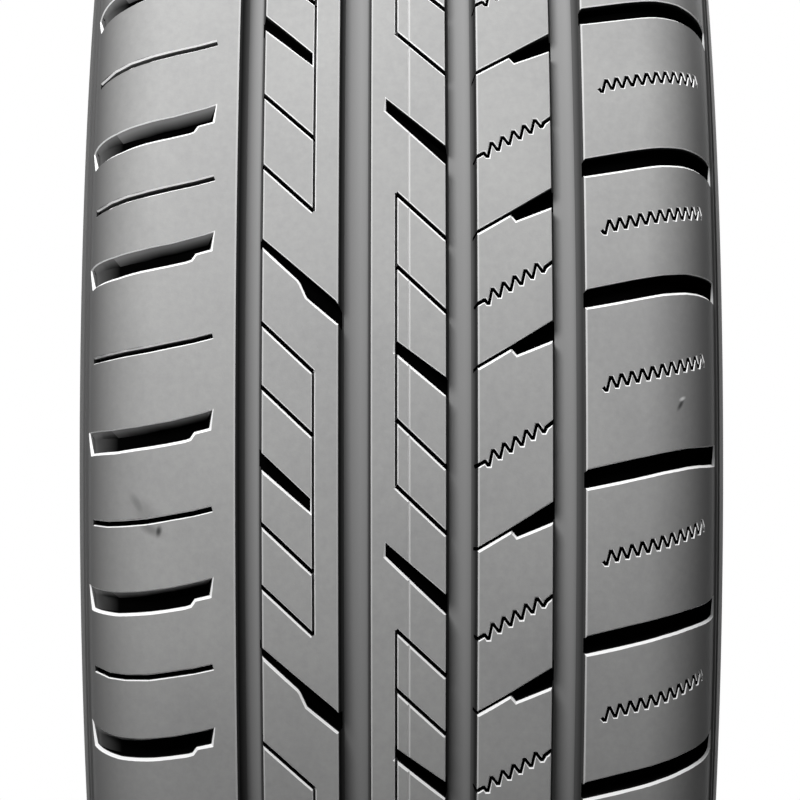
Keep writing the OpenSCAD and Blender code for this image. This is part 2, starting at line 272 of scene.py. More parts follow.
class Outline:
    """The outer outline of the tyre, read by the distance along it from the middle of the crown."""

    def __init__(self, radius):
        self.radius = radius
        self.points = traced((0, radius), 0, CROWN_STEPS + (SHOULDER_STEP,) + SIDE_STEPS)
        fine = traced((0, radius), 0, [(size, turn, pieces * 8) for size, turn, pieces
                                       in CROWN_STEPS + (SHOULDER_STEP,) + SIDE_STEPS])
        self.across, self.height, self.heading = np.array(fine).T
        steps = np.hypot(np.diff(self.across), np.diff(self.height))
        self.along = np.concatenate([[0], np.cumsum(steps)])

    def place(self, u, v, h):
        """The point in space of a place on the flat tread, in metres."""
        along = np.abs(u)
        turn = np.radians(np.interp(along, self.along, self.heading))
        across = np.sign(u) * (np.interp(along, self.along, self.across) + h * np.sin(turn))
        radius = np.interp(along, self.along, self.height) + h * np.cos(turn)
        angle = v / self.radius
        return np.array((radius * np.cos(angle), across, radius * np.sin(angle))) * MM

    def height_at(self, across):
        """Radius of the tread at a distance across it, out to the widest place."""
        widest = int(np.argmax(self.across))
        return np.interp(np.abs(across), self.across[:widest], self.height[:widest])

    def heading_at(self, across):
        """Heading of the outline there, in radians."""
        widest = int(np.argmax(self.across))
        return np.radians(np.interp(np.abs(across), self.across[:widest], self.heading[:widest]))

    def side_at(self, radius):
        """Distance across at a radius on the sidewall."""
        return float(np.interp(radius, self.height[::-1], self.across[::-1]))


def with_groove(top, outline, groove, depth):
    """Puts a groove into the points across the top, with broken edges and round corners at its floor."""
    left, right, lean_left, lean_right = groove
    floor = outline.radius - depth
    slope_l, slope_r = lean_left / depth, lean_right / depth
    e, f = GROOVE_EDGE, GROOVE_FILLET
    foot_l, foot_r = left + lean_left, right - lean_right
    step = (foot_r - foot_l - f * 2.4) / FLOOR_PIECES
    cut = [(left - e, outline.height_at(left - e)), (left + e * slope_l, outline.height_at(left) - e),
           (foot_l - f * slope_l, floor + f), (foot_l + f * 0.4, floor + f * 0.15),
           *((foot_l + f * 1.2 + step * i, floor) for i in range(FLOOR_PIECES + 1)),
           (foot_r - f * 0.4, floor + f * 0.15), (foot_r + f * slope_r, floor + f),
           (right - e * slope_r, outline.height_at(right) - e), (right + e, outline.height_at(right + e))]
    # The points far below are those of the sidewalls, which stay
    return ([p for p in top if p[0] < left - e - 1 or p[1] < floor - 2 and p[0] < 0] + cut
            + [p for p in top if p[0] > right + e + 1 or p[1] < floor - 2 and p[0] > 0])


def with_rings(side, outline):
    """Puts the thin rings into the points down one sidewall, which run from the top down."""
    for radius, width, height in SIDE_RINGS:
        ring = [(outline.side_at(radius + width / 2), radius + width / 2),
                (outline.side_at(radius) + height, radius + width / 4),
                (outline.side_at(radius) + height, radius - width / 4),
                (outline.side_at(radius - width / 2), radius - width / 2)]
        above = [p for p in side if p[1] > radius + width / 2 + 0.3]
        side = above + ring + [p for p in side[len(above):] if p[1] < radius - width / 2 - 0.3]
    return side


def section_points(outline, sizes):
    """The closed section of the tyre, clockwise from the right bead's toe, as (across, radius)."""
    seat_r = sizes.seat_d / MM / 2
    half = [(p[0], p[1]) for p in outline.points]
    rings_top = outline.radius - RINGS_START
    half = [p for p in half if p[1] > rings_top] + with_rings([p for p in half if p[1] <= rings_top], outline)
    bead = half[-1][0]
    quarter = [math.radians(90 * i / HEEL_PIECES) for i in range(HEEL_PIECES + 1)]
    half += [(bead - HEEL_R + HEEL_R * math.cos(a), seat_r + HEEL_R - HEEL_R * math.sin(a)) for a in quarter]
    seat_end = bead - HEEL_R - sizes.seat_w / MM
    half += [(seat_end, seat_r), (seat_end - TOE[0], seat_r + TOE[1])]
    top = [(-x, r) for x, r in reversed(half) if x > 0] + half
    for groove in GROOVES:
        top = with_groove(top, outline, groove, sizes.groove_depth / MM)
    faint = [(FAINT_LINE_U - FAINT_LINE_HALF, outline.radius), (FAINT_LINE_U, outline.radius - FAINT_LINE_DEPTH),
             (FAINT_LINE_U + FAINT_LINE_HALF, outline.radius)]
    top = [p for p in top if p[0] < faint[0][0]] + faint + [p for p in top if p[0] > faint[2][0]]
    liner = [(p[0], p[1]) for p in traced((0, outline.radius - sizes.crown_t / MM), 0, LINER_STEPS)]
    return top + list(reversed(liner)) + [(-x, r) for x, r in liner if x > 0]


def at_steps(edge, parts):
    """Points of an edge at parts of its way across."""
    u = edge[0][0] + np.array(parts) * (edge[-1][0] - edge[0][0])
    sign = 1 if edge[-1][0] > edge[0][0] else -1
    return np.column_stack((u, np.interp(sign * u, [sign * p[0] for p in edge], [p[1] for p in edge])))


def edges_matched(upper, lower):
    """Gives both edges of a slot the same number of points, closer together over the shoulder."""
    parts = {0.0, 1.0}
    for edge in (upper, lower):
        parts.update(round((p[0] - edge[0][0]) / (edge[-1][0] - edge[0][0]), 3) for p in edge)
    parts = sorted(parts)
    steps = [parts[0]]
    for a, b in zip(parts, parts[1:]):
        middle = abs(upper[0][0] + (a + b) / 2 * (upper[-1][0] - upper[0][0]))
        run = (b - a) * abs(upper[-1][0] - upper[0][0])
        pieces = max(1, math.ceil(run / (SHOULDER_PIECE if middle > SHOULDER_U else RIB_PIECE)))
        steps += [a + (b - a) * i / pieces for i in range(1, pieces + 1)]
    return at_steps(upper, steps), at_steps(lower, steps)


def grown(ring, offsets):
    """Moves each corner of a closed ring outwards by its offset."""
    edge = np.roll(ring, -1, axis=0) - ring
    edge /= np.maximum(np.linalg.norm(edge, axis=1), 1e-9)[:, None]
    normal = np.column_stack((edge[:, 1], -edge[:, 0]))
    before = np.roll(normal, 1, axis=0)
    share = np.maximum(1 + (normal * before).sum(axis=1), 0.5)
    area = (ring[:, 0] * np.roll(ring[:, 1], -1) - np.roll(ring[:, 0], -1) * ring[:, 1]).sum()
    return ring + math.copysign(1, area) * (normal + before) / share[:, None] * np.array(offsets)[:, None]


def mesh_of(name, points, faces):
    """A closed mesh with its faces outwards."""
    mesh = bpy.data.meshes.new(name)
    mesh.from_pydata([tuple(p) for p in points], [], faces)
    work = bmesh.new()
    work.from_mesh(mesh)
    bmesh.ops.recalc_face_normals(work, faces=work.faces)
    work.to_mesh(mesh)
    work.free()
    return mesh


def slot_ring(upper, lower):
    """How the ring of points round a slot grows by what is broken off its upper and lower edges."""
    ring = np.vstack((upper, lower[::-1]))
    return lambda up, low: grown(ring, [up] * len(upper) + [low] * len(lower))


def stroke_ring(middle, width):
    """The same for a sipe of even width along a middle line."""
    middle = np.array(middle, float)
    return lambda up, low: np.vstack((beside(middle, width / 2 + up), beside(middle, -width / 2 - low)[::-1]))


def beside(middle, distance):
    """A line beside a middle line, mitred at its corners. A short piece that would turn over is closed up."""
    way = np.diff(middle, axis=0)
    way /= np.linalg.norm(way, axis=1)[:, None]
    normal = np.column_stack((-way[:, 1], way[:, 0]))
    first, last = np.vstack((normal[:1], normal)), np.vstack((normal, normal[-1:]))
    line = middle + distance * (first + last) / (1 + (first * last).sum(axis=1))[:, None]
    for i, along in enumerate(way):
        if (line[i + 1] - line[i]) @ along < 0.03:
            centre = (line[i] + line[i + 1]) / 2
            line[i], line[i + 1] = centre - 0.015 * along, centre + 0.015 * along
    return line


def cutter(name, outline, ring, depth, edges, lean=0, fade=(0, 1, 0)):
    """The solid that a cut takes out: broken edges at the top, an upper wall that leans in, and a floor that loses a
    part of its depth on its way over the shoulder."""
    edge_up, edge_low = edges
    flat = ring(0, 0)
    around = len(flat)
    low = np.arange(around) >= around // 2
    edge = np.where(low, edge_low, edge_up)
    fade_from, fade_to, lost = fade
    way = np.clip((np.abs(flat[:, 0]) - fade_from) / (fade_to - fade_from), 0, 1)
    wide = ring(1.1 * edge_up, 1.1 * edge_low)
    levels = ((wide, 1.5 + 0 * edge), (wide, 0.1 * edge), (flat, -edge),
              (ring(-lean, 0), -np.maximum(depth * (1 - lost * way ** 1.2), edge + 0.1)))
    points, faces = [], []
    for level, heights in levels:
        points += [outline.place(u, v, h) for (u, v), h in zip(level, heights)]
    for level in range(len(levels) - 1):
        for i in range(around):
            a, b = level * around + i, level * around + (i + 1) % around
            faces.append((a, b, b + around, a + around))
    for level in (0, len(levels) - 1):
        for i in range(around // 2 - 1):
            first = level * around
            faces.append((first + i, first + i + 1, first + around - 2 - i, first + around - 1 - i))
    return mesh_of(name, points, faces)


def slot(name, outline, lines, *sizes, **more):
    """The cutter of a slot, from its upper and lower edge."""
    return cutter(name, outline, slot_ring(*edges_matched(*lines)), *sizes, **more)


def sipe(name, outline, middle, width, *sizes, **more):
    """The cutter of a sipe, from its middle line."""
    return cutter(name, outline, stroke_ring(middle, width), *sizes, **more)


def zigzag(line):
    """Middle line of a zigzag sipe, with a short flat at each tip."""
    before, after, (start, low, wave, height, slope, rise, waves) = line
    tips = list(before[1:])
    for i in range(waves):
        fall = (1 - rise) * wave
        tips += [(start + i * wave, low + height + slope * i * wave),
                 (start + i * wave + fall, low + slope * (i * wave + fall))]
    flats = [(u + side * ZIGZAG_TIP / 2, v) for u, v in tips for side in (-1, 1)]
    return list(before[:1]) + flats + list(after)


def fine_line(name, outline, u, length, depth, width, segments):
    """The solid that a fine line round the tyre takes out, from v = 0 downwards."""
    pieces = max(1, round(length / (2 * math.pi * outline.radius / segments)))
    wide = width / 2 + LINE_EDGE
    profile = ((-wide, 1), (wide, 1), (wide, 0.03), (width / 2, -LINE_EDGE), (width / 2, -depth),
               (-width / 2, -depth), (-width / 2, -LINE_EDGE), (-wide, 0.03))
    count, points, faces = len(profile), [], []
    for i in range(pieces + 1):
        points += [outline.place(u + across, -length * i / pieces, h) for across, h in profile]
    for i in range(pieces):
        for j in range(count):
            a, b = count * i + j, count * i + (j + 1) % count
            faces.append((a, b, b + count, a + count))
    faces += [tuple(range(count)), tuple(count * pieces + j for j in range(count))]
    return mesh_of(name, points, faces)


def wear_bar(name, outline, groove, sizes):
    """A low bar across one groove, rooted in its floor and walls."""
    left, right, lean_left, lean_right = groove
    depth, height = sizes.groove_depth / MM, sizes.wear_bar_h / MM
    half = sizes.wear_bar_w / MM / 2
    points = []
    for v, rise in ((-half, 0), (-half + 0.8, height), (half - 0.8, height), (half, 0)):
        for u in (left + lean_left - 0.8, right - lean_right + 0.8):
            for h in (-1, max(rise, 0.02)):
                radius = outline.radius - depth + h
                angle = v / outline.radius
                points.append(np.array((radius * math.cos(angle), u, radius * math.sin(angle))) * MM)
    faces = [(0, 1, 3, 2), (12, 13, 15, 14)]
    for i in range(3):
        a, b = 4 * i, 4 * i + 4
        faces += [(a + j, a + k, b + k, b + j) for j, k in ((0, 1), (2, 3), (1, 3), (0, 2))]
    return mesh_of(name, points, faces)


def pitched(start, pitches, repeats, part=0, only=None):
    """Heights v at which a cut stands, one for each pitch that it is in."""
    heights, v = [], start
    parts = part if isinstance(part, tuple) else (part,)
    for _ in range(repeats):
        for i, pitch in enumerate(pitches):
            if only is None or i % 2 == only:
                heights.append(v - parts[i % len(parts)] * pitch)
            v -= pitch
    return heights


def all_cuts(outline, s):
    """Every kind of cut: its solid, and the heights at which it stands."""
    deep, thin, over = s.slot_depth / MM, s.sipe_depth / MM, s.shoulder_depth / MM
    width, zigzag_w = s.sipe_w / MM, s.zigzag_w / MM
    n = s.repeats
    left_start, rib4_start = OUTER_START + LEFT_RISE, OUTER_START - RIB4_FALL

    def rib_sipe(name, u0, u1, start):
        line = [(u0, RIB_SLOPE * (u0 - start)), (u1, RIB_SLOPE * (u1 - start))]
        return sipe(name, outline, line, width, thin, EDGES["rib_sipe"])

    yield (slot("left_slot", outline, LEFT_SLOT, over, EDGES["left_slot"], lean=LEFT_LEAN, fade=LEFT_FADE),
           pitched(left_start, OUTER_PITCH, n))
    yield (sipe("left_sipe", outline, LEFT_SIPE, width + LEFT_SIPE_WIDER, thin * LEFT_SIPE_DEPTH, EDGES["left_sipe"],
                fade=LEFT_SIPE_FADE),
           pitched(left_start, OUTER_PITCH, n, LEFT_SIPE_AT))
    for name, lines, start, pitches, only in (("rib2_wide", RIB2_WIDE, RIB2_START, RIB2_PITCH, 0),
                                              ("rib2_narrow", RIB2_NARROW, RIB2_START, RIB2_PITCH, 1),
                                              ("rib3_long", RIB3_LONG, RIB3_START, RIB3_PITCH, 0),
                                              ("rib3_short", RIB3_SHORT, RIB3_START, RIB3_PITCH, 1),
                                              ("rib4_slot", RIB4_SLOT, rib4_start, OUTER_PITCH, None)):
        yield slot(name, outline, lines, deep, EDGES["rib_slot"]), pitched(start, pitches, n, only=only)
    for parts in RIB2_SIPES_AT:
        yield rib_sipe("rib2_sipe", -44, RIB2_LINE_U, -42), pitched(RIB2_START, RIB2_PITCH, n, parts)
    for parts in RIB3_SIPES_AT:
        yield rib_sipe("rib3_sipe", RIB3_LINE_U, 15, RIB3_LINE_U), pitched(RIB3_START, RIB3_PITCH, n, parts)
    yield (sipe("rib4_zigzag", outline, zigzag(RIB4_ZIGZAG), zigzag_w, thin, EDGES["rib4_zigzag"]),
           pitched(rib4_start, OUTER_PITCH, n, RIB4_ZIGZAG_AT))
    yield slot("right_slot", outline, RIGHT_SLOT, over, EDGES["right_slot"]), pitched(OUTER_START, OUTER_PITCH, n)
    yield (sipe("right_zigzag", outline, zigzag(RIGHT_ZIGZAG), zigzag_w, thin * RIGHT_ZIGZAG_DEPTH,
                EDGES["right_zigzag"], fade=RIGHT_FADE),
           pitched(OUTER_START, OUTER_PITCH, n, RIGHT_ZIGZAG_AT))


def all_lines(outline, s):
    """The stretches of fine line in ribs 2 and 3."""
    drop = RIB_SLOPE * (RIB2_LINE_U + 42)
    for name, start, pitches, (first_at, last_at), u, odd in (
            ("rib2_line", RIB2_START + drop, RIB2_PITCH, RIB2_SIPES_AT, RIB2_LINE_U, 1),
            ("rib3_line", RIB3_START, RIB3_PITCH, RIB3_SIPES_AT, RIB3_LINE_U, 0)):
        for i, pitch in enumerate(pitches):
            if i % 2 == odd:
                after = (i + 1) % len(pitches)
                length = (1 - first_at[i % 3]) * pitch + last_at[after % 3] * pitches[after]
                first = start - sum(pitches[:i]) - first_at[i % 3] * pitch
                yield (fine_line(name, outline, u, length, s.line_depth / MM, s.line_w / MM, s.segments),
                       [first - k * sum(pitches) for k in range(s.repeats)])


def placed(name, data):
    """Puts an object in the scene."""
    item = bpy.data.objects.new(name, data)
    bpy.context.scene.collection.objects.link(item)
    return item


def emptied(owner):
    """The node tree of a material or world, with nothing in it."""
    owner.use_nodes = True
    owner.node_tree.nodes.clear()
    return owner.node_tree


def new_tree(name, sockets):
    """A geometry tree with named inputs and one mesh output."""
    tree = bpy.data.node_groups.new(name, "GeometryNodeTree")
    for label, kind in sockets:
        tree.interface.new_socket(label, in_out="INPUT", socket_type="NodeSocket" + kind)
    tree.interface.new_socket("Mesh", in_out="OUTPUT", socket_type="NodeSocketGeometry")
    return tree


def add(tree, kind, settings=None, **links):
    """Adds a node. Settings go to the node, and each link or plain value to the socket of that name or number."""
    node = tree.nodes.new(kind)
    for key, value in (settings or {}).items():
        setattr(node, key, value)
    for key, value in links.items():
        socket = node.inputs[int(key[1:]) if key[0] == "_" and key[1:].isdigit() else key.replace("_", " ")]
        for item in value if isinstance(value, list) else [value]:
            if isinstance(item, bpy.types.NodeSocket):
                tree.links.new(item, socket)
            else:
                socket.default_value = item
    return node


def made(tree, kind, settings=None, **links):
    """Adds a node, for its first output."""
    return add(tree, kind, settings, **links).outputs[0]


def maths(tree, operation, *values):
    """Adds a maths node, for its output."""
    return made(tree, "ShaderNodeMath", {"operation": operation}, **{f"_{i}": v for i, v in enumerate(values)})


def ranged(tree, value, *limits):
    """Adds a map range node, for its output. The limits are those it maps from, then those it maps to."""
    return made(tree, "ShaderNodeMapRange", None, Value=value, **{f"_{i}": v for i, v in enumerate(limits, 1)})


def pitch_tree():
    """Stands a solid at each height on the tread, turned round the axle to it."""
    tree = new_tree("Stand at each pitch", (("Marks", "Geometry"), ("Solid", "Object"), ("Outside radius", "Float"),
                                            ("Cut", "Float"), ("Rubber", "Material")))
    group = add(tree, "NodeGroupInput").outputs
    position = made(tree, "GeometryNodeInputPosition")
    height = add(tree, "ShaderNodeSeparateXYZ", None, Vector=position).outputs["X"]
    angle = maths(tree, "DIVIDE", height, group["Outside radius"])
    turn = maths(tree, "MULTIPLY", angle, -1.0)
    kept = made(tree, "GeometryNodeStoreNamedAttribute", {"data_type": "FLOAT", "domain": "POINT"},
                Geometry=group["Marks"], Name="turn", Value=turn)
    axle = made(tree, "FunctionNodeInputVector")
    centred = made(tree, "GeometryNodeSetPosition", None, Geometry=kept, Position=axle)
    points = made(tree, "GeometryNodeMeshToPoints", None, Mesh=centred)
    stored = add(tree, "GeometryNodeInputNamedAttribute", {"data_type": "FLOAT"}, Name="turn").outputs["Attribute"]
    rotation = made(tree, "ShaderNodeCombineXYZ", None, Y=stored)
    solid = add(tree, "GeometryNodeObjectInfo", None, Object=group["Solid"]).outputs["Geometry"]
    stood = made(tree, "GeometryNodeInstanceOnPoints", None, Points=points, Instance=solid, Rotation=rotation)
    real = made(tree, "GeometryNodeRealizeInstances", None, Geometry=stood)
    marked = made(tree, "GeometryNodeStoreNamedAttribute", {"data_type": "FLOAT", "domain": "FACE"},
                  Geometry=real, Name=CUT_MARK, Value=group["Cut"])
    faced = made(tree, "GeometryNodeSetMaterial", None, Geometry=marked, Material=group["Rubber"])
    add(tree, "NodeGroupOutput", None, Mesh=faced)
    return tree


def ring_tree():
    """Sweeps the section round the axle, adds the wear bars, and takes the cuts out of the tread."""
    tree = new_tree("Sweep and cut the tread", (("Section", "Geometry"), ("Segments", "Int"), ("Path radius", "Float"),
                                                ("Bars", "Object"), ("Lines", "Object"), ("Cuts", "Object"),
                                                ("Rubber", "Material")))
    group = add(tree, "NodeGroupInput").outputs
    profile = made(tree, "GeometryNodeMeshToCurve", None, Mesh=group["Section"])
    circle = made(tree, "GeometryNodeCurvePrimitiveCircle", {"mode": "RADIUS"},
                  Resolution=group["Segments"], Radius=group["Path radius"])
    swept = made(tree, "GeometryNodeCurveToMesh", None, Curve=circle, _1=profile)
    upright = made(tree, "GeometryNodeTransform", None, Geometry=swept, Rotation=(math.radians(90), 0.0, 0.0))
    body = made(tree, "GeometryNodeStoreNamedAttribute", {"data_type": "FLOAT", "domain": "FACE"},
                Geometry=upright, Name=CUT_MARK, Value=0.0)

    def solid(label):
        return add(tree, "GeometryNodeObjectInfo", None, Object=group[label]).outputs["Geometry"]

    def boolean(operation, **meshes):
        return made(tree, "GeometryNodeMeshBoolean", {"operation": operation, "solver": "MANIFOLD"}, **meshes)

    barred = boolean("UNION", _1=[solid("Bars"), body])
    lined = boolean("DIFFERENCE", _0=barred, _1=solid("Lines"))
    cut = boolean("DIFFERENCE", _0=lined, _1=solid("Cuts"))
    real = made(tree, "GeometryNodeRealizeInstances", None, Geometry=cut)
    faced = made(tree, "GeometryNodeSetMaterial", None, Geometry=real, Material=group["Rubber"])
    add(tree, "NodeGroupOutput", None, Mesh=faced)
    return tree


def grown_mesh(name, mesh, tree, values):
    """Runs a geometry tree on a mesh and gives the plain mesh that comes out."""
    holder = placed(name + "_holder", mesh)
    modifier = holder.modifiers.new(name, "NODES")
    modifier.node_group = tree
    for item in tree.interface.items_tree:
        if item.in_out == "INPUT" and item.name in values:
            modifier[item.identifier] = values[item.name]
    holder.update_tag()
    graph = bpy.context.evaluated_depsgraph_get()
    graph.update()
    result = bpy.data.meshes.new_from_object(holder.evaluated_get(graph), depsgraph=graph)
    bpy.data.objects.remove(holder)
    result.name = name
    if not result.polygons:
        raise RuntimeError("nothing came out of the tree for " + name)
    return result


def stood_round(kinds, outline, rubber, tree, cut):
    """One mesh of all the solids of these kinds, each stood at its heights."""
    joined = bmesh.new()
    for solid, heights in kinds:
        name = solid.name
        marks = bpy.data.meshes.new(name + "_marks")
        marks.from_pydata([(v * MM, 0, 0) for v in heights], [], [])
        holder = bpy.data.objects.new(name + "_solid", solid)
        mesh = grown_mesh(name, marks, tree, {"Solid": holder, "Outside radius": outline.radius * MM,
                                              "Cut": cut, "Rubber": rubber})
        joined.from_mesh(mesh)
        bpy.data.objects.remove(holder)
        bpy.data.meshes.remove(mesh)
    result = bpy.data.meshes.new("solids")
    joined.to_mesh(result)
    joined.free()
    return bpy.data.objects.new("solids", result)


def read(items, name, width=1, kind=np.float32):
    """One property of many items, as an array."""
    values = np.empty(len(items) * width, kind)
    items.foreach_get(name, values)
    return values.reshape(-1, width) if width > 1 else values


def store(mesh, mark, domain, values):
    """Stores a mark on the points or faces of a mesh."""
    mesh.attributes.new(mark, "FLOAT", domain).data.foreach_set("value", values.astype(np.float32))


def mark_points(mesh, outline, y, radius, depth):
    """Marks each point with its depth, with the painted shade on a groove's floor there, and with its turn to the side.
    """
    floor_shade = np.zeros(len(y))
    first, last = FLOOR_RIGHT
    for (left, right, lean_left, lean_right), dark in zip(GROOVES, FLOOR_PAINTED_SHADE):
        part = (y - left - lean_left) / (right - lean_right - left - lean_left)
        on_floor = (part > -0.3) & (part < 1.3) & (depth > 6)
        shaded = np.maximum(dark * (1 - np.clip(part, 0, 1)),
                            FLOOR_PAINTED_SHADE_RIGHT * np.clip((part - first) / (last - first), 0, 1))
        floor_shade = np.where(on_floor, shaded, floor_shade)
    side = np.clip(1.5 * (1 - np.cos(outline.heading_at(y))), 0, 1)
    store(mesh, DEPTH_MARK, "POINT", depth)
    store(mesh, FLOOR_SHADE_MARK, "POINT", floor_shade)
    store(mesh, SIDE_MARK, "POINT", np.where(radius < outline.radius - TREAD_END, 1, side))


def finish_faces(mesh, outline):
    """Gives the crown and shoulders their true round normals, and stores the marks that the material reads."""
    x, y, z = (read(mesh.vertices, "co", 3) / MM).T
    radius = np.hypot(x, z)
    depth = np.clip(outline.height_at(y) - radius, 0, 20)
    mark_points(mesh, outline, y, radius, depth)

    mesh.set_sharp_from_angle(angle=math.radians(28))
    for polygon in mesh.polygons:
        polygon.use_smooth = True
    corner = read(mesh.corner_normals, "vector", 3)
    vertex = read(mesh.loops, "vertex_index", kind=np.int32)
    starts = read(mesh.polygons, "loop_start", kind=np.int32)
    totals = read(mesh.polygons, "loop_total", kind=np.int32)
    flat = np.repeat(read(mesh.polygons, "normal", 3), totals, axis=0)
    heading = outline.heading_at(y)
    true = np.column_stack((np.cos(heading) * x / radius, np.sign(y) * np.sin(heading), np.cos(heading) * z / radius))
    true = true[vertex]
    along = (true * flat).sum(axis=1)
    on_top = (depth[vertex] < TOP_DEPTH) & (radius[vertex] > outline.radius - ROUND_END) & (along > ALONG)
    corner[on_top] = true[on_top]
    mesh.normals_split_custom_set(corner.tolist())

    def mean(values):
        return np.add.reduceat(values, starts) / totals

    # Painted highlight on the broken edges of the cuts and of the ribs
    cut = read(mesh.attributes[CUT_MARK].data, "value")
    turn, middle, at = mean(along), mean(depth[vertex]), mean(y[vertex])
    on_tread = mean(radius[vertex]) > outline.radius - TREAD_END
    edge_highlight = np.where(cut > 0.5, CUT_EDGE_HIGHLIGHT, np.where(flat[starts, 1] > 0, RIGHT_EDGE_HIGHLIGHT, LEFT_EDGE_HIGHLIGHT))
    edge = np.where((turn > STEEPEST_EDGE) & (turn < ALONG) & (middle < EDGE_DEPTH) & on_tread, edge_highlight, 0.0)
    store(mesh, EDGE_HIGHLIGHT_MARK, "FACE", edge)

    # Walls of the grooves and cuts, which get painted shade. The left slots' upper walls, which face down, get painted
    # light near the top
    dark = np.where((at > PALE_WALL_U) & (cut < 0.5), PALE_WALL, 1.0)
    is_wall = (turn < WALL_TURN) & (middle > WALL_DEPTHS[0]) & (middle < WALL_DEPTHS[1]) & on_tread & (edge == 0)
    wall = np.where(is_wall, dark, 0.0)
    store(mesh, WALL_MARK, "FACE", wall)
    one = vertex[starts]
    down = (flat[starts, 0] * z[one] - flat[starts, 2] * x[one]) / radius[one]
    store(mesh, LIT_MARK, "FACE", np.where((down > 0.6) & (cut > 0.5) & (at < LEFT_SLOT_U), wall, 0.0))


def scuff_or_nick_spot(tree, place, outline, u, v, half_length, half_width, tilt, strength):
    """How much of a scuff, or of the painted nick, is on each place: its strength in the middle, fading to nothing at
    its rim.
    """
    local = made(tree, "ShaderNodeMapping", {"vector_type": "TEXTURE"}, Vector=place,
                 Location=tuple(outline.place(u, v, 0)), Rotation=(math.radians(tilt), 0.0, 0.0),
                 Scale=(0.02, half_length * MM, half_width * MM))
    away = add(tree, "ShaderNodeVectorMath", {"operation": "LENGTH"}, _0=local).outputs["Value"]
    return made(tree, "ShaderNodeMapRange", {"interpolation_type": "SMOOTHSTEP"}, Value=away, _1=0.1, _2=1.0,
                _3=strength, _4=0.0)


def rubber_material(look, outline):
    """Moulded tread rubber: dull dark rubber that a thin bloom turns an even grey, with the fine grain of the mould
    on it. The broken edges get a painted pale highlight, and the slots, groove walls and groove floors get painted
    shade. A few marks of wear darken the left shoulder, and a nick in the right one is painted as shade and highlight."""
    material = bpy.data.materials.new("moulded_tread_rubber")
    tree = emptied(material)

    def mark(name):
        return add(tree, "ShaderNodeAttribute", {"attribute_name": name}).outputs["Fac"]

    def mixed(part, first, second):
        return add(tree, "ShaderNodeMix", {"data_type": "RGBA"}, _0=part, _6=first, _7=second).outputs[2]

    place = add(tree, "ShaderNodeTexCoord").outputs["Object"]
    cloud, speck, grain = (made(tree, "ShaderNodeTexNoise", None, Vector=place, Scale=1 / size, Detail=detail,
                                Roughness=rough) for size, detail, rough in
                           ((look.cloud, 4.0, 0.55), (look.speck, 3.0, 0.6), (look.grain, 2.0, 0.5)))
    patch = maths(tree, "MULTIPLY_ADD", speck, 0.5, cloud)
    bloomed = ranged(tree, patch, 0.5, 1.0)
    depth, wall = mark(DEPTH_MARK), mark(WALL_MARK)
    # The floor colour is painted shade, reached with depth
    sunk = ranged(tree, depth, 1.0, 6.0)
    ribs = mixed(sunk, mixed(bloomed, (*look.tread, 1), (*look.bloom, 1)), (*look.floor, 1))
    face = mixed(mark(SIDE_MARK), ribs, (*look.side, 1))

    marks = [scuff_or_nick_spot(tree, place, outline, *scuff_and_nick_shade) for scuff_and_nick_shade in SCUFFS_AND_PAINTED_NICK]
    dark_marks = marks[0]
    for spot in marks[1:-1]:
        dark_marks = maths(tree, "MAXIMUM", dark_marks, spot)
    # The dark spots are scuffs and the nick's painted shade; the pale one is a painted highlight on the nick's edge
    face = mixed(marks[-1], mixed(dark_marks, face, (*look.scuff_and_nick_shade, 1)), (*look.edge, 1))

    low = ranged(tree, depth, 3.0, 8.0)
    # The corner mark paints shade on each groove floor beside its walls
    corner = maths(tree, "POWER", mark(FLOOR_SHADE_MARK), 2.0)
    floor = mixed(corner, face, (*look.wall, 1))
    # Groove walls are painted dark as shade, paler at their foot
    grooved = mixed(wall, floor, mixed(low, (*look.wall, 1), (*look.wall_foot, 1)))
    # Painted shade down in the slots and sipes, darker with depth
    deep = ranged(tree, depth, 1.0, 4.2)
    dark = maths(tree, "MAXIMUM", deep, wall)
    down = ranged(tree, depth, 1.5, 5.5)
    # The lit mark paints light on the left slots' upper walls, fading to the cut's shade with depth
    slotted = mixed(mark(LIT_MARK), mixed(dark, (*look.shallow, 1), (*look.inside, 1)),
                    mixed(down, (*look.tread, 1), (*look.inside, 1)))
    cut = mixed(mark(CUT_MARK), grooved, slotted)
    # Painted highlight on the broken edges
    shown = mixed(mark(EDGE_HIGHLIGHT_MARK), cut, (*look.edge, 1))
    rough = ranged(tree, patch, 0.4, 1.1, look.roughness - 0.06, look.roughness + 0.06)
    bump = made(tree, "ShaderNodeBump", None, Strength=0.25, Distance=0.00012, Height=grain)
    shader = add(tree, "ShaderNodeBsdfPrincipled", None, Base_Color=shown, Roughness=rough, Normal=bump)
    shader.inputs["IOR"].default_value = 1.52
    matt = ranged(tree, depth, 0.3, 2.5, 0.25, 0.0)
    # The sheen is turned off down in the cuts and turned down on the right sidewall: painted shade in the reflections
    # there
    across = add(tree, "ShaderNodeSeparateXYZ", None, Vector=place).outputs["Y"]
    dull = ranged(tree, across, 0.08, 0.095, 1.0, 0.35)
    sheen = maths(tree, "MULTIPLY", matt, dull)
    tree.links.new(sheen, shader.inputs["Specular IOR Level"])
    add(tree, "ShaderNodeOutputMaterial", None, Surface=shader.outputs[0])
    return material


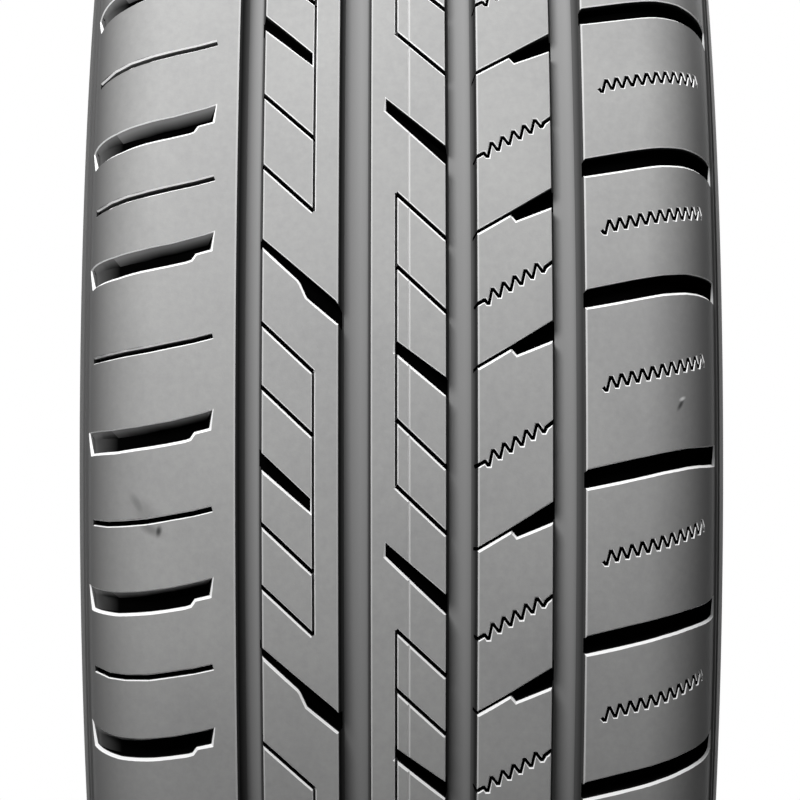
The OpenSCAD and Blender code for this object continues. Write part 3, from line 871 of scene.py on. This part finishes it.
class TYRE_OT_make_tyre(bpy.types.Operator):
    """Makes the tyre, from its bead seats to the last sipe of its tread"""
    bl_idname = "tyre.make_tyre"
    bl_label = "Tyre"

    def execute(self, context):
        sizes, look = context.scene.tyre_sizes, context.scene.tyre_rubber
        outline = Outline(sizes.outer_d / MM / 2)
        rubber = rubber_material(look, outline)
        stand = pitch_tree()
        bar_step = 2 * math.pi * outline.radius / sizes.wear_bars
        bars_at = [WEAR_BAR_START + n * bar_step for n in range(sizes.wear_bars)]
        bars = stood_round([(wear_bar("wear_bar", outline, groove, sizes), bars_at) for groove in GROOVES],
                           outline, rubber, stand, 0.0)
        lines = stood_round(all_lines(outline, sizes), outline, rubber, stand, 1.0)
        cuts = stood_round(all_cuts(outline, sizes), outline, rubber, stand, 1.0)

        path = (outline.radius + sizes.seat_d / MM / 2) / 2
        points = section_points(outline, sizes)
        section = bpy.data.meshes.new("section")
        section.from_pydata([((r - path) * MM, across * MM, 0) for across, r in points],
                            [(i, (i + 1) % len(points)) for i in range(len(points))], [])
        mesh = grown_mesh("tyre_rubber", section, ring_tree(), {
            "Segments": sizes.segments, "Path radius": path * MM, "Bars": bars, "Lines": lines, "Cuts": cuts,
            "Rubber": rubber})
        for solids in (bars, lines, cuts):
            bpy.data.objects.remove(solids)
        finish_faces(mesh, outline)
        tyre = placed("tyre_rubber", mesh)
        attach(tyre, "root")
        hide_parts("tyre")
        return {"FINISHED"}


class TYRE_OT_make_stage(bpy.types.Operator):
    """Makes the floor, the white background, the lamps and the camera"""
    bl_idname = "tyre.make_stage"
    bl_label = "Stage"

    def seen_straight(self, tree):
        """1 for what the camera sees, straight or mirrored, and 0 for what only gives light."""
        path = add(tree, "ShaderNodeLightPath").outputs
        seen = maths(tree, "MAXIMUM", path["Is Camera Ray"], path["Is Glossy Ray"])
        return maths(tree, "MAXIMUM", seen, path["Is Transmission Ray"])

    def execute(self, context):
        look = context.scene.tyre_stage
        scene = context.scene
        bottom = -context.scene.tyre_sizes.outer_d / 2
        corners = [(x * FLOOR_HALF, y * FLOOR_HALF, bottom) for x, y in ((-1, -1), (1, -1), (1, 1), (-1, 1))]
        mesh = mesh_of("floor", corners, [(0, 1, 2, 3)])
        floor = placed("floor", mesh)
        # Painted studio floor: flat and pale, so that it shows the tyre's soft shadow. What it throws back is kept
        # low, as the photograph's white surroundings don't light the underside
        paint = bpy.data.materials.new("painted_floor")
        tree = emptied(paint)
        seen = self.seen_straight(tree)
        shown = add(tree, "ShaderNodeMix", {"data_type": "RGBA"}, _0=seen, _6=(*look.bounce, 1), _7=(*look.floor, 1))
        shader = add(tree, "ShaderNodeBsdfDiffuse", None, Color=shown.outputs[2])
        add(tree, "ShaderNodeOutputMaterial", None, Surface=shader.outputs[0])
        mesh.materials.append(paint)

        world = bpy.data.worlds.new("studio")
        tree = emptied(world)
        seen = self.seen_straight(tree)
        way = add(tree, "ShaderNodeTexCoord").outputs["Generated"]
        across = add(tree, "ShaderNodeSeparateXYZ", None, Vector=way).outputs["Y"]
        strength = maths(tree, "MULTIPLY_ADD", across, -look.ambient * look.ambient_tilt, look.ambient)
        soft = made(tree, "ShaderNodeBackground", None, Color=(1, 1, 1, 1), Strength=strength)
        white = made(tree, "ShaderNodeBackground", None, Color=(*look.background, 1), Strength=1.0)
        both = made(tree, "ShaderNodeMixShader", None, _0=seen, _1=soft, _2=white)
        add(tree, "ShaderNodeOutputWorld", None, Surface=both)
        scene.world = world

        for name, size, where, aim in LAMPS:
            lamp = bpy.data.lights.new(name + "_lamp", "AREA")
            lamp.energy = getattr(look, name)
            lamp.size = size
            holder = placed(name + "_lamp", lamp)
            holder.location = where
            holder.rotation_euler = (Vector(aim) - Vector(where)).to_track_quat("-Z", "Y").to_euler()

        camera = bpy.data.cameras.new("camera")
        camera.lens = CAMERA_LENS
        camera.sensor_width = 36
        holder = placed("camera", camera)
        holder.location = CAMERA_AT
        holder.rotation_euler = (math.radians(90), 0, math.radians(90))
        scene.camera = holder
        scene.view_settings.view_transform = "Standard"
        return {"FINISHED"}


class TYRE_PT_panel(bpy.types.Panel):
    """Sizes, colours and buttons in the sidebar"""
    bl_label = "Car tyre"
    bl_space_type = "VIEW_3D"
    bl_region_type = "UI"
    bl_category = "Tyre"

    def draw(self, context):
        layout = self.layout
        for group in (context.scene.tyre_sizes, context.scene.tyre_rubber, context.scene.tyre_stage):
            column = layout.column(align=True)
            for name in group.__annotations__:
                column.prop(group, name)
        layout.operator(TYRE_OT_make_tyre.bl_idname)
        layout.operator(TYRE_OT_make_stage.bl_idname)


CLASSES = (TyreSizes, RubberLook, StageLook, TYRE_OT_make_tyre, TYRE_OT_make_stage, TYRE_PT_panel)


def register():
    for item in CLASSES:
        bpy.utils.register_class(item)
    bpy.types.Scene.tyre_sizes = PointerProperty(type=TyreSizes)
    bpy.types.Scene.tyre_rubber = PointerProperty(type=RubberLook)
    bpy.types.Scene.tyre_stage = PointerProperty(type=StageLook)


def unregister():
    del bpy.types.Scene.tyre_stage, bpy.types.Scene.tyre_rubber, bpy.types.Scene.tyre_sizes
    for item in reversed(CLASSES):
        bpy.utils.unregister_class(item)


def main():
    register()
    bpy.ops.tyre.make_tyre()
    bpy.ops.tyre.make_stage()


if __name__ == "__main__":
    main()
